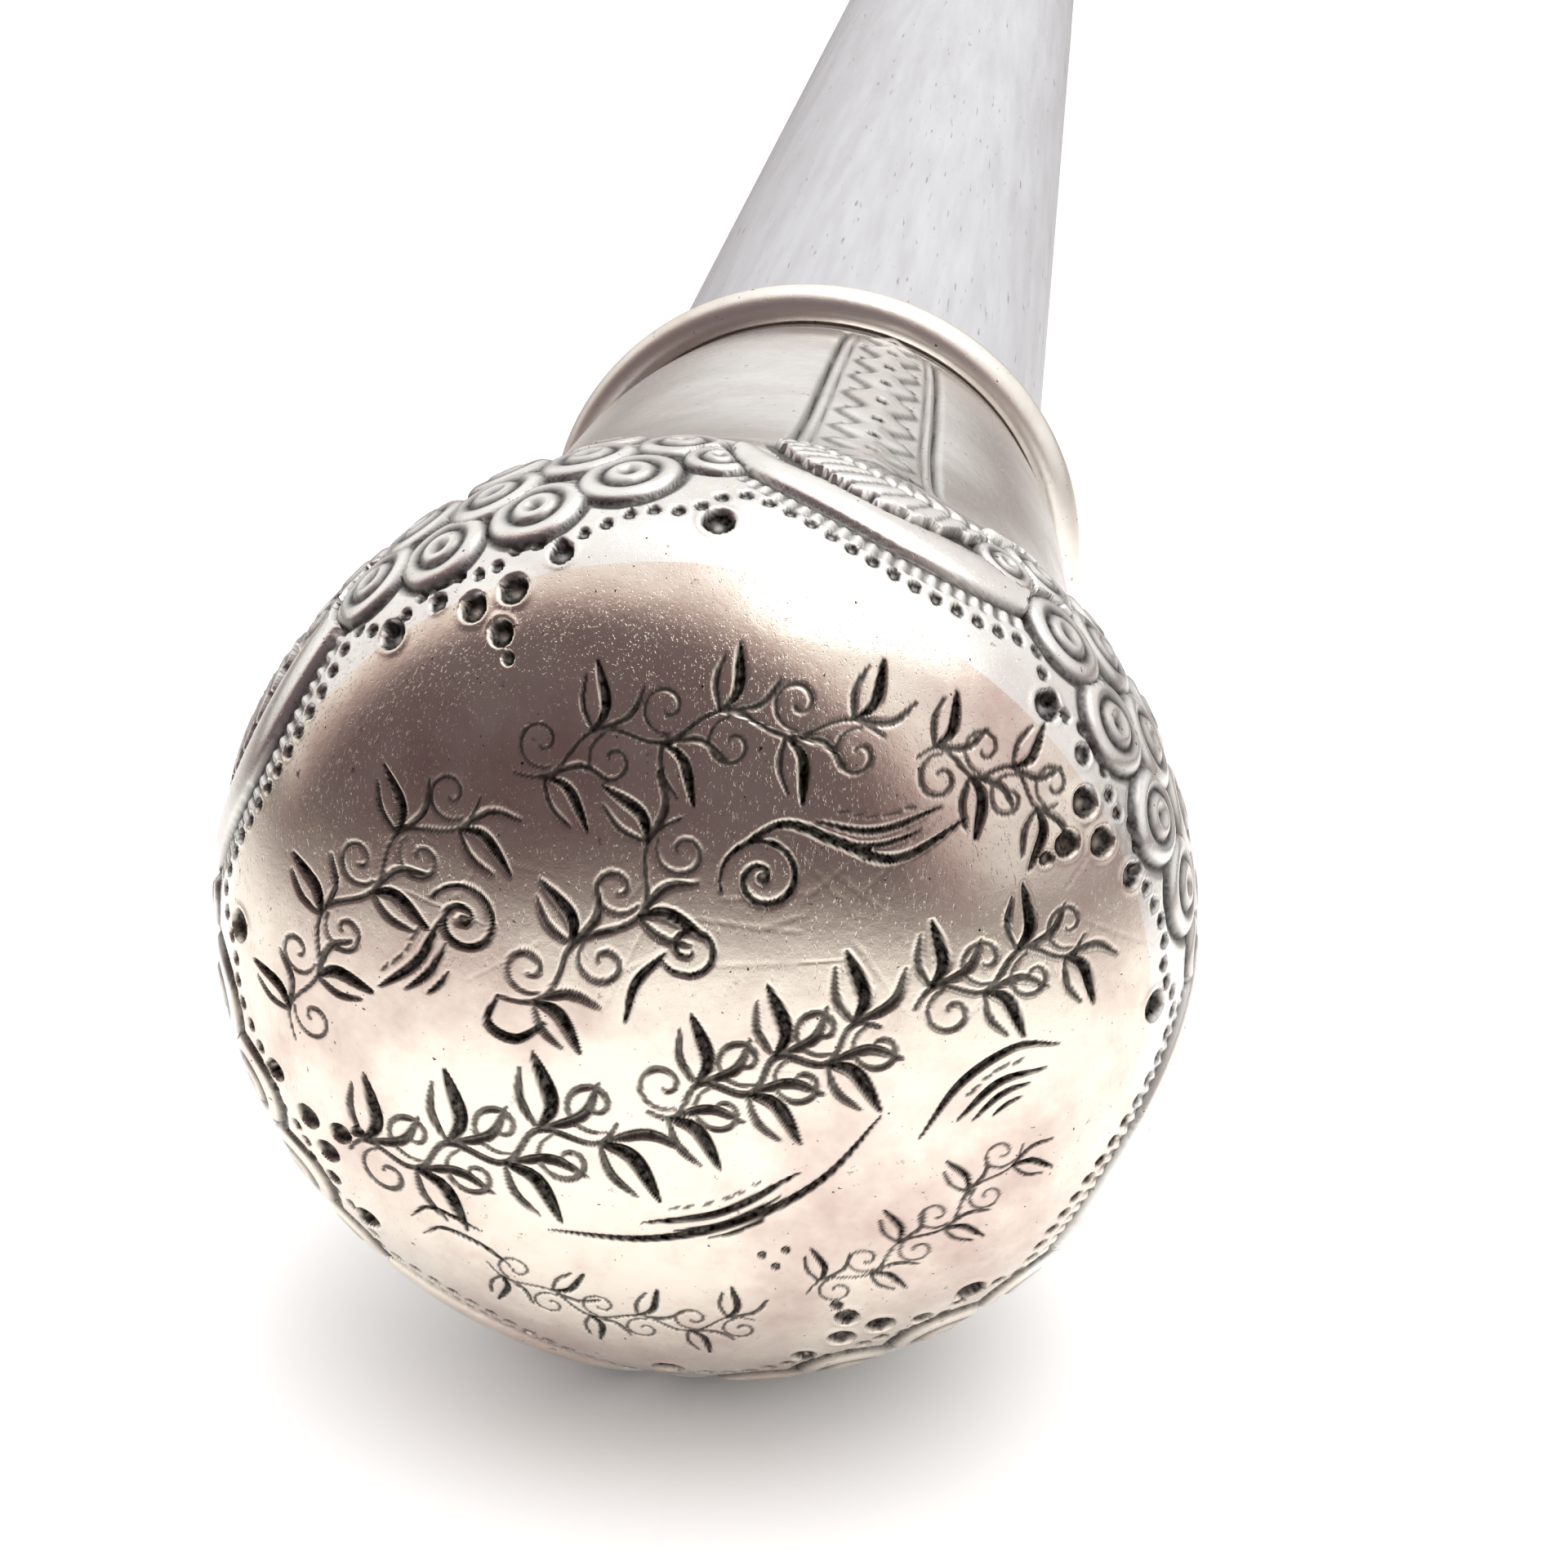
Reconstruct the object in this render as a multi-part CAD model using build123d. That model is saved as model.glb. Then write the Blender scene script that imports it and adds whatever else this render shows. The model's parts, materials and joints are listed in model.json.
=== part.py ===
from build123d import *
import math
import os

# A baby rattle: a hollow silver head with loose shot in it, a bone handle, and a ring for a ribbon at the tail.
# It is drawn along its own axis, Y, with the head's girth (its widest circle) at Y = 0 and its face towards -Y.
# It is then laid down, so that the girth, the tail bead and the hanging ring all rest on Z = 0, and the middle
# of its underside is the origin. Every length is in millimetres and every angle in degrees.

# The silver head
head_radius = 15.0        # at the girth
face_height = 9.9         # from the girth's plane to the middle of the face
face_fullness = 2.35      # power of the face's curve: 2 is an ellipse, and more is fuller
seam_height = 4.8         # the seam of face and shoulder, in front of the girth
shoulder_length = 10.6    # the seam of shoulder and neck, behind the girth
neck_length = 32.0        # from the girth to the end of the neck
neck_step = 0.7           # how far the neck's end stands above the handle
neck_end_slope = 0.25     # loss of radius for each mm of length, at the neck's end
wall = 0.55               # sheet silver
# From the girth to the neck's end: share of the length, and share of the radius still to be lost.
neck_shape = ((0.083, 0.952), (0.2, 0.73), (0.35, 0.445), (0.5, 0.31), (0.69, 0.24), (0.875, 0.14))

# The inside of the head
chamber_depth = 7.4       # from the girth back to the disc that closes the chamber
disc_thickness = 0.6
disc_rim = 1.4            # length of the disc's turned rim behind its plate
cement_depth = 4.0        # from the disc's plate to the wooden plug
shot_radius = 2.0
shot_gap = 0.4            # between two shots
shot_clearance = 0.2      # between a shot and the wall
shot_middle = 0.5         # the middle of the two rows of shot, behind the girth
shot_rows = (4, 3)

# The handle and what joins it to the head
handle_radius = 8.9       # where it leaves the head
handle_taper = 0.007      # loss of radius for each mm of length
handle_length = 152.0     # from the neck to the mouth of the end cap
bead_radius = 0.9         # of the half-round wire of both beads
bead_rise = 1.1           # from a bead's bore to the middle of its wire
dowel_core = 1.5
dowel_radius = 2.0        # over the threads
dowel_length = 26.0
dowel_pitch = 1.6
pin_radius = 0.5
pin_length = 4.5
collar_pin_place = 3.2    # in front of the neck's end
cap_pin_place = 4.2       # behind the cap's mouth

# The tail
cap_length = 6.0          # straight part of the end cap
cap_dome = 2.4            # height of its domed end
cap_flat = 3.2            # radius of the flat at the middle of the dome
cap_wall = 0.5
petals = 8
petal_radius = 0.85
petal_circle = 2.1
rosette_thickness = 0.8
ring_wire = 0.9           # radius of the hanging ring's wire
ring_radius = 7.0         # to the middle of its wire
eye_wire = 0.7            # radius of the eye's wire
eye_play = 0.4            # between the ring's wire and the eye's bore
eye_screw_length = 12.0   # of its shank, behind the rosette
eye_shank = 0.6           # radius of its shank and threads
eye_screw_core = 0.45
eye_screw_pitch = 1.0
ring_swing = 105.0        # each way from the rattle's axis

# Clearances
solder_gap = 0.03
glue_gap = 0.05
pin_gap = 0.02

# Places along the axis
neck_end_radius = handle_radius + neck_step
plug_front = chamber_depth + disc_thickness + cement_depth
cap_mouth = neck_length + handle_length
cap_radius = handle_radius - handle_taper * handle_length
cap_shoulder = cap_mouth + cap_length
cap_end = cap_shoulder + cap_dome
rosette_end = cap_end + rosette_thickness
eye_bore = ring_wire + eye_play
eye_radius = eye_bore + eye_wire
eye_place = rosette_end + eye_bore + 2 * eye_wire

# How it lies: the girth and the tail bead on the table, the ring drooping until it meets the table
tail_bead_place = cap_mouth + bead_radius
tail_bead_outer = cap_radius + bead_rise + bead_radius
tilt = math.degrees(math.asin((head_radius - tail_bead_outer) / tail_bead_place))
eye_height = head_radius - eye_place * math.sin(math.radians(tilt))
droop = math.degrees(math.asin((eye_height - ring_wire) / (2 * ring_radius))) - tilt


def turned(*edges):
    """The solid that a closed outline makes when it is turned about the axis. Outlines are (radius, place)."""
    return revolve(make_face(edges), axis=Axis.Y)


def slab(low, high):
    """A wide disc from one place along the axis to another, to cut a length out of a turned solid."""
    middle = Pos(0, (low + high) / 2, 0)
    return middle * Rot(90, 0, 0) * Cylinder(3 * head_radius, high - low)


def rod(radius, low, high):
    """A round rod on the axis."""
    middle = Pos(0, (low + high) / 2, 0)
    return middle * Rot(90, 0, 0) * Cylinder(radius, high - low)


def face_point(turn, inset):
    """A point of the face's outline: turn is 0 at its middle and 90 at the girth."""
    power = 2 / face_fullness
    radius = (head_radius - inset) * math.sin(math.radians(turn)) ** power
    place = -(face_height - inset) * math.cos(math.radians(turn)) ** power
    return radius, place


def neck_points(inset):
    """The points of the outline from the girth to the neck's end."""
    fall = head_radius - neck_end_radius
    points = [(head_radius - inset, 0)]
    for length_share, fall_share in neck_shape:
        points.append((neck_end_radius + fall_share * fall - inset, length_share * neck_length))
    points.append((neck_end_radius - inset, neck_length))
    return points


def head_solid(inset):
    """The head and neck as a solid, smaller by inset all over."""
    face = Spline([face_point(turn, inset) for turn in (0, 12, 26, 42, 58, 74, 90)], tangents=((1, 0), (0, 1)))
    neck = Spline(neck_points(inset), tangents=((0, 1), (-neck_end_slope, 1)))
    end = Line((neck_end_radius - inset, neck_length), (0, neck_length))
    axis = Line((0, neck_length), (0, -(face_height - inset)))
    return turned(face, neck, end, axis)


def shell(low, high):
    """A length of the head's sheet silver."""
    return (head_solid(0) - head_solid(wall)) & slab(low, high)


def bead(bore, place):
    """A round wire soldered on as a collar, flattened where it sits on what it goes round."""
    wire = Rot(90, 0, 0) * Torus(bore + bead_rise, bead_radius)
    return Pos(0, place, 0) * wire - rod(bore, place - 2 * bead_radius, place + 2 * bead_radius)


def screw(core, radius, pitch, shank, length):
    """A wood screw from Y = 0 up: a plain shank, a thread made as ridges round its core, and a point."""
    points = [(0, 0), (radius, 0), (radius, shank)] if shank else [(0, 0)]
    points.append((core, shank))
    for ridge in range(int((length - shank - radius) / pitch)):
        foot = shank + ridge * pitch
        points += [(core, foot + 0.3 * pitch), (radius, foot + 0.6 * pitch), (core, foot + 0.9 * pitch)]
    points += [(core, length - radius), (0, length)]
    return turned(Polyline(points, close=True))


def pin(outer, place):
    """A plain pin driven in from the underside, as long as the whole pin."""
    middle = Pos(0, place, -(outer - pin_length / 2))
    return middle * Cylinder(pin_radius, pin_length)


def pin_hole(place):
    middle = Pos(0, place, -head_radius / 2)
    return middle * Cylinder(pin_radius + pin_gap, head_radius)


def make_chamber_disc():
    plate = head_solid(wall + solder_gap) & slab(chamber_depth, chamber_depth + disc_thickness + disc_rim)
    back = chamber_depth + disc_thickness
    return plate - (head_solid(wall + solder_gap + disc_thickness) & slab(back, back + disc_rim))


def make_cement_bed():
    back = chamber_depth + disc_thickness
    inside = head_solid(wall + solder_gap + disc_thickness) & slab(back, back + disc_rim)
    return inside + (head_solid(wall + glue_gap) & slab(back + disc_rim, plug_front))


def make_neck_sleeve():
    return shell(shoulder_length, neck_length) - pin_hole(neck_length - collar_pin_place)


def make_neck_plug():
    plug = head_solid(wall + glue_gap) & slab(plug_front, neck_length)
    plug -= rod(dowel_radius + glue_gap, neck_length - dowel_length / 2 - glue_gap, neck_length)
    return plug - pin_hole(neck_length - collar_pin_place)


def make_dowel_screw():
    half = screw(dowel_core, dowel_radius, dowel_pitch, 0, dowel_length / 2)
    return Pos(0, neck_length, 0) * (half + half.mirror(Plane.XZ))


def make_collar_pin():
    place = neck_length - collar_pin_place
    return pin(neck_end_radius + neck_end_slope * collar_pin_place, place) & head_solid(0)


def cap_outline(inset):
    """Edges from the cap's mouth over its shoulder and dome to the axis, smaller by inset."""
    corner = (cap_radius - inset, cap_shoulder)
    flat = (cap_flat, cap_end - inset)
    side = Line((cap_radius - inset, cap_mouth), corner)
    dome = Spline(corner, flat, tangents=((0, 1), (-1, 0)))
    top = Line(flat, (0, cap_end - inset))
    return side, dome, top


def make_handle():
    front = Line((0, neck_length), (handle_radius, neck_length))
    side = Line((handle_radius, neck_length), (cap_radius, cap_mouth))
    inset = cap_wall + glue_gap
    step = Line((cap_radius, cap_mouth), (cap_radius - inset, cap_mouth))
    axis = Line((0, cap_end - inset), (0, neck_length))
    handle = turned(front, side, step, *cap_outline(inset), axis)
    handle -= rod(dowel_radius + glue_gap, neck_length, neck_length + dowel_length / 2 + glue_gap)
    handle -= rod(eye_shank + glue_gap, rosette_end - eye_screw_length - glue_gap, cap_end)
    return handle - pin_hole(cap_mouth + cap_pin_place)


def make_end_cap():
    mouth = Line((0, cap_mouth), (cap_radius, cap_mouth))
    outside = turned(mouth, *cap_outline(0), Line((0, cap_end), (0, cap_mouth)))
    inner_mouth = Line((0, cap_mouth), (cap_radius - cap_wall, cap_mouth))
    inner_axis = Line((0, cap_end - cap_wall), (0, cap_mouth))
    inside = turned(inner_mouth, *cap_outline(cap_wall), inner_axis)
    hole = rod(eye_shank + pin_gap, cap_shoulder, cap_end + 1)
    return outside - inside - hole - pin_hole(cap_mouth + cap_pin_place)


def make_cap_pin():
    return pin(cap_radius, cap_mouth + cap_pin_place)


def make_rosette():
    """A small flower that the eye is screwed down on."""
    blank = Circle(petal_circle)
    for petal in range(petals):
        blank += Rot(0, 0, 360 * petal / petals) * Pos(petal_circle, 0) * Circle(petal_radius)
    blank -= Circle(eye_shank + pin_gap)
    return Pos(0, rosette_end, 0) * Rot(90, 0, 0) * extrude(blank, rosette_thickness)


def make_eye_screw():
    eye = Pos(0, eye_place, 0) * Rot(0, 90, 0) * Torus(eye_radius, eye_wire)
    top = eye_place - eye_bore - eye_wire / 2
    shank = top - cap_end + cap_wall
    length = top - rosette_end + eye_screw_length
    return eye + Pos(0, top, 0) * Rot(180, 0, 0) * screw(eye_screw_core, eye_shank, eye_screw_pitch, shank, length)


def make_hanging_ring():
    """The ring is stored drooping from the eye to the table."""
    ring = Pos(0, ring_radius, 0) * Torus(ring_radius, ring_wire)
    return Pos(0, eye_place, 0) * Rot(-droop, 0, 0) * ring


def wall_radius(place):
    """The chamber's radius at a place along the axis."""
    if place < 0:
        share = min(1, -place / (face_height - wall)) ** face_fullness
        return (head_radius - wall) * (1 - share) ** (1 / face_fullness)
    points = neck_points(wall)
    for (first, start), (second, end) in zip(points, points[1:]):
        if place <= end:
            return first + (second - first) * (place - start) / (end - start)
    return neck_end_radius - wall


def shot_reach(place):
    """How far from the axis a shot's centre can go before the shot is its clearance from the wall."""
    reach = shot_radius + shot_clearance
    steps = 40
    limits = []
    for step in range(-steps, steps + 1):
        along = reach * step / steps
        limits.append(wall_radius(place + along) - math.sqrt(reach**2 - along**2))
    return min(limits)


def shot_places():
    """For each shot: how far it is across, how far along the axis, and how far below the axis it lies."""
    spacing = 2 * shot_radius + shot_gap
    places = []
    for row, count in enumerate(shot_rows):
        along = shot_middle + (row - (len(shot_rows) - 1) / 2) * spacing
        for index in range(count):
            across = (index - (count - 1) / 2) * spacing
            places.append((across, along, math.sqrt(shot_reach(along) ** 2 - across**2)))
    return places


def lay_down(parts):
    """Tilts the rattle on to the table and puts the origin under the middle of its box."""
    laid = {name: Pos(0, 0, head_radius) * Rot(-tilt, 0, 0) * part for name, part in parts.items()}
    box = Compound([solid for part in laid.values() for solid in part.solids()]).bounding_box()
    middle = (box.min + box.max) / 2
    shift = Pos(-middle.X, -middle.Y, -box.min.Z)
    return {name: shift * part for name, part in laid.items()}, shift


parts = {
    "face_dome": shell(-face_height - 1, -seam_height),
    "shoulder_band": shell(-seam_height, shoulder_length),
    "neck_sleeve": make_neck_sleeve(),
    "collar_bead": bead(handle_radius + pin_gap, neck_length + bead_radius),
    "chamber_disc": make_chamber_disc(),
    "cement_bed": make_cement_bed(),
    "neck_plug": make_neck_plug(),
    "dowel_screw": make_dowel_screw(),
    "collar_pin": make_collar_pin(),
    "handle": make_handle(),
    "end_cap": make_end_cap(),
    "end_cap_bead": bead(cap_radius + pin_gap, tail_bead_place),
    "cap_pin": make_cap_pin(),
    "eye_rosette": make_rosette(),
    "eye_screw": make_eye_screw(),
    "hanging_ring": make_hanging_ring(),
}
for number, (across, along, below) in enumerate(shot_places(), start=1):
    parts[f"shot_{number}"] = Pos(across, along, -below) * Sphere(shot_radius)

parts, shift = lay_down(parts)
for name, part in parts.items():
    export_step(part, f"parts/{name}.step")

# What the record states: the joints' places and travels, in the laid-down frame.
print("tilt", round(tilt, 4), "droop", round(droop, 4))
hinge = shift * Pos(0, 0, head_radius) * Rot(-tilt, 0, 0) * Pos(0, eye_place, 0)
girth = shift * Pos(0, 0, head_radius)
print("girth centre", girth.position, "eye", hinge.position)
print("ring swing", round(-ring_swing + droop, 2), round(ring_swing + droop, 2))
for number, (across, along, below) in enumerate(shot_places(), start=1):
    print("shot", number, "travel", round(2 * below, 4))
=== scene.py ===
import json
import math
import random

import bmesh
import bpy
import numpy as np
from bpy.props import FloatProperty, FloatVectorProperty, PointerProperty
from mathutils import Matrix, Vector


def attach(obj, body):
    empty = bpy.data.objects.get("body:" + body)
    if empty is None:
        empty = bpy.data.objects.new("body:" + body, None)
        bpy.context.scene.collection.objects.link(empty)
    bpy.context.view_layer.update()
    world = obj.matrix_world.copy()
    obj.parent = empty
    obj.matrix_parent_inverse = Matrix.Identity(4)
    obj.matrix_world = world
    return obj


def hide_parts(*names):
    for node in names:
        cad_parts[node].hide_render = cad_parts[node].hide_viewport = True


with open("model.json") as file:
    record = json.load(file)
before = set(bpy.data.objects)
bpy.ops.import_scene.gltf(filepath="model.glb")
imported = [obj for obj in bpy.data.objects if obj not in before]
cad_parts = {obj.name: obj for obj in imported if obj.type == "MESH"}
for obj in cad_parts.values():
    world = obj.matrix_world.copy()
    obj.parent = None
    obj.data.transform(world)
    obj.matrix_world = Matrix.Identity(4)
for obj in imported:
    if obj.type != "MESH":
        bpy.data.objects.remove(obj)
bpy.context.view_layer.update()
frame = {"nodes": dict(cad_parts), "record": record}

bl_info = {
    "name": "Silver stick rattle",
    "version": (1, 0, 0),
    "blender": (4, 5, 0),
    "location": "3D View > Sidebar > Rattle",
    "description": "Builds the engraved silver head, the bone handle and the tail of a stick rattle",
    "category": "Add Mesh",
}

MM = 0.001

# ---------------------------------------------------------------------------------------------------------
# The rattle's own frame, in millimetres: the girth's middle is the origin, the face looks along -Y, and an
# angle round the axis runs from +X towards +Z. The grip mount says where that frame lies.

GRIP = next(m for m in frame["record"]["mounts"] if m["name"] == "grip")
NECK_LENGTH = 32.0
HANDLE_LENGTH = GRIP["dims"]["length_mm"]
AXIS = Vector(GRIP["axis"]).normalized()
GIRTH = Vector(GRIP["pos_m"]) - AXIS * (NECK_LENGTH + HANDLE_LENGTH / 2) * MM
ACROSS = Vector((1, 0, 0))
TURN = Matrix((ACROSS, AXIS, ACROSS.cross(AXIS))).transposed().to_4x4()
LAY = Matrix.Translation(GIRTH) @ TURN @ Matrix.Scale(MM, 4)

HEAD_RADIUS = 15.0
FACE_HEIGHT = 9.9
FACE_FULLNESS = 2.35     # power of the dome's curve: 2 is an ellipse, more is squarer
SEAM = -4.8              # where the face meets the shoulder, along the axis
SHOULDER_END = 10.6      # where the shoulder meets the neck
WALL = 0.55
NECK_END = 9.6           # the neck's radius at its end
# share of the neck's length, and the share of the radius still to lose there
NECK_SHAPE = ((0.083, 0.952), (0.2, 0.73), (0.35, 0.445), (0.5, 0.31), (0.69, 0.24), (0.875, 0.14))


def head_outline():
    """Arc length from the middle of the face, radius, place along the axis, and the outward normal."""
    turn = np.linspace(0, math.pi / 2, 900)
    power = 2 / FACE_FULLNESS
    r = HEAD_RADIUS * np.sin(turn) ** power
    y = -FACE_HEIGHT * np.cos(turn) ** power
    knots = [(0.0, HEAD_RADIUS)]
    knots += [(share * NECK_LENGTH, NECK_END + left * (HEAD_RADIUS - NECK_END)) for share, left in NECK_SHAPE]
    knots.append((NECK_LENGTH, NECK_END))
    ky, kr = (np.array(c) for c in zip(*knots))
    slope = np.gradient(kr, ky)
    slope[0] = 0.0
    back = np.linspace(0, NECK_LENGTH, 600)[1:]
    i = np.clip(np.searchsorted(ky, back) - 1, 0, len(ky) - 2)
    h = ky[i + 1] - ky[i]
    t = (back - ky[i]) / h
    rb = ((1 + 2 * t) * (1 - t) ** 2 * kr[i] + t * (1 - t) ** 2 * h * slope[i]
          + t * t * (3 - 2 * t) * kr[i + 1] + t * t * (t - 1) * h * slope[i + 1])
    r, y = np.concatenate([r, rb]), np.concatenate([y, back])
    s = np.concatenate([[0], np.cumsum(np.hypot(np.diff(r), np.diff(y)))])
    dr, dy = np.gradient(r, s), np.gradient(y, s)
    size = np.hypot(dr, dy)
    return s, r, y, dy / size, -dr / size


ARC, RADIUS, ALONG, OUT_R, OUT_Y = head_outline()


def arc_at(y):
    return float(np.interp(y, ALONG, ARC))


def on_head(s, depth=0.0):
    """Radius and place along the axis of the point depth under the head's skin at arc length s."""
    return (np.interp(s, ARC, RADIUS) - depth * np.interp(s, ARC, OUT_R),
            np.interp(s, ARC, ALONG) - depth * np.interp(s, ARC, OUT_Y))


# ---------------------------------------------------------------------------------------------------------
# Chasing and engraving: every mark changes a height and a darkness at each point of the skin.

def flow(points, step=0.2):
    """A smooth line through a few points, sampled evenly enough to cut along."""
    p = np.array(points, float)
    p = np.vstack([2 * p[0] - p[1], p, 2 * p[-1] - p[-2]])
    out = []
    for a, b, c, d in zip(p[:-3], p[1:-2], p[2:-1], p[3:]):
        n = max(2, int(np.linalg.norm(c - b) / step))
        t = np.linspace(0, 1, n, endpoint=False)[:, None]
        out.append(0.5 * (2 * b + (c - a) * t + (2 * a - 5 * b + 4 * c - d) * t ** 2
                          + (3 * b - a - 3 * c + d) * t ** 3))
    return np.vstack(out + [p[-2:-1]])


def length(line):
    return float(np.hypot(*np.diff(line, axis=0).T).sum())


def curl(x, y, radius, turns, start, hand=1):
    """A spiral that winds in to its middle."""
    t = np.linspace(0, 1, int(26 * turns) + 4)
    a = math.radians(start) + hand * t * turns * 2 * math.pi
    r = radius * (1 - t) ** 0.8 + 0.12
    return np.stack([x + r * np.cos(a), y + r * np.sin(a)], 1)


def swell(n, wide, thin=0.12, power=0.8):
    """Widths of a stroke that is thin at both ends."""
    return thin + (wide - thin) * np.sin(np.linspace(0, math.pi, n)) ** power


class Skin:
    """Points of a chart in millimetres, with the height and the darkness that the marks give them."""

    def __init__(self, u, v):
        self.u, self.v = u, v
        self.height = np.zeros(len(u))
        self.dark = np.zeros(len(u))

    def near(self, points, reach):
        low, high = points.min(0) - reach, points.max(0) + reach
        return np.flatnonzero((self.u > low[0]) & (self.u < high[0]) & (self.v > low[1]) & (self.v < high[1]))

    def distance(self, points, reach):
        """The points near a line: their indices, distance from it, place along it and side of it."""
        points = np.asarray(points, float)
        idx = self.near(points, reach)
        best = np.full(len(idx), 1e9)
        place = np.zeros(len(idx))
        side = np.zeros(len(idx))
        p = np.stack([self.u[idx], self.v[idx]], 1)
        for k in range(len(points) - 1):
            a, b = points[k], points[k + 1]
            ab = b - a
            t = np.clip(((p - a) @ ab) / (ab @ ab + 1e-12), 0, 1)
            off = p - a - t[:, None] * ab
            d = np.hypot(off[:, 0], off[:, 1])
            hit = d < best
            best[hit] = d[hit]
            place[hit] = (k + t[hit]) / (len(points) - 1)
            side[hit] = np.sign(ab[0] * off[hit, 1] - ab[1] * off[hit, 0])
        return idx, best, place, side

    def cut(self, points, wide, deep=0.4, dark=1.0, thin=0.12, power=0.8):
        """A graver's cut, V-shaped, wide in its middle and thin at its ends."""
        idx, d, place, _ = self.distance(points, wide)
        half = 0.5 * np.interp(place, np.linspace(0, 1, 41), swell(41, wide, thin, power))
        v = np.clip(1 - d / half, 0, 1)
        self.height[idx] = np.minimum(self.height[idx], -v * half * 2 * deep)
        self.dark[idx] = np.maximum(self.dark[idx], dark * np.clip(v * 3.6, 0, 1))

    def punch(self, x, y, radius, deep, dark=0.98):
        """A dent from a round punch, with the metal raised a little round it, filled dark but for a lighter
        spot at its middle: a painted highlight.
        """
        idx = self.near(np.array([[x, y]]), radius * 2.2)
        d = np.hypot(self.u[idx] - x, self.v[idx] - y) / radius
        raised = 0.1 * np.exp(-((d - 1.2) / 0.22) ** 2)
        self.height[idx] += deep * (raised - np.sqrt(np.clip(1 - d * d, 0, 1)))
        # the dark fill is thinned at the middle of every dent: a painted highlight
        painted_glint = 0.4 * np.exp(-((d - 0.1) / 0.22) ** 2)
        self.dark[idx] = np.maximum(self.dark[idx], (dark - painted_glint) * np.clip((1.06 - d) * 6, 0, 1))

    def bead_line(self, points, pitch, radius, deep):
        """A row of small punch marks along a line."""
        line = flow(points, 0.05)
        run = np.concatenate([[0], np.cumsum(np.hypot(*np.diff(line, axis=0).T))])
        count = max(1, round(run[-1] / pitch))
        for at in (np.arange(count) + 0.5) * run[-1] / count:
            self.punch(np.interp(at, run, line[:, 0]), np.interp(at, run, line[:, 1]), radius, deep, 0.97)


# A vine's leaves: their bend and tip, along and across the stem in leaf lengths, then the share of the full
# width, the depth and the darkness.
VINE_LEAVES = (((0.30, 0.30), (0.35, 1.0), 1, 0.45, 1), ((-0.05, 0.45), (0.12, 0.85), 0.6, 0.4, 0.9),
               ((0.6, 0.05), (0.95, 0.4), 0.7, 0.4, 0.9))


def vine(skin, base, waves, sway, leaf, wide, stem, hand=1):
    """A running vine: a swaying stem with pointed leaves on both sides and a curl in each bend."""
    line = flow(base, 0.15)
    way = np.gradient(line, axis=0)
    way /= np.linalg.norm(way, axis=1)[:, None]
    side = np.stack([-way[:, 1], way[:, 0]], 1)
    t = np.linspace(0, 1, len(line))
    stalk = line + side * (hand * sway * np.sin(2 * math.pi * waves * t))[:, None]
    skin.cut(stalk, stem, 0.35, 0.9, stem * 0.6)
    for k in range(2 * waves):
        i = int((k + 0.5) / (2 * waves) * (len(line) - 1))
        turn = hand * (1 if k % 2 == 0 else -1)
        p, w, n = stalk[i], way[i], side[i] * turn
        for (a, b), (c, d), share, deep, dark in VINE_LEAVES:
            bend, tip = w * a * leaf + n * b * leaf, w * c * leaf + n * d * leaf
            skin.cut(flow([p, p + bend, p + tip]), wide * share, deep, dark)
        q = p - n * (0.5 * leaf) + w * 0.15 * leaf
        start = math.degrees(math.atan2(n[1], n[0]))
        skin.cut(curl(q[0], q[1], 0.34 * leaf, 1.1, start, turn), wide * 0.45, 0.35, 0.85)


def spray(skin, points, gap, wide):
    """Strokes beside each other that shorten, with a row of short dashes beyond them."""
    line = flow(points)
    way = line[-1] - line[0]
    n = np.array([-way[1], way[0]]) / np.linalg.norm(way)
    for k, (a, b) in enumerate(((0.0, 1.0), (0.18, 0.86), (0.34, 0.72))):
        part = line[int(a * len(line)):max(2, int(b * len(line)))] + n * gap * k
        skin.cut(part, wide * (1 - 0.22 * k), 0.4, 1, 0.08)
    for k in range(6):
        a = 0.2 + 0.1 * k
        p = line[int(a * len(line))] - n * gap
        skin.cut(flow([p, p + way / np.linalg.norm(way) * 0.32]), 0.12, 0.35, 0.85, 0.08)


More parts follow.
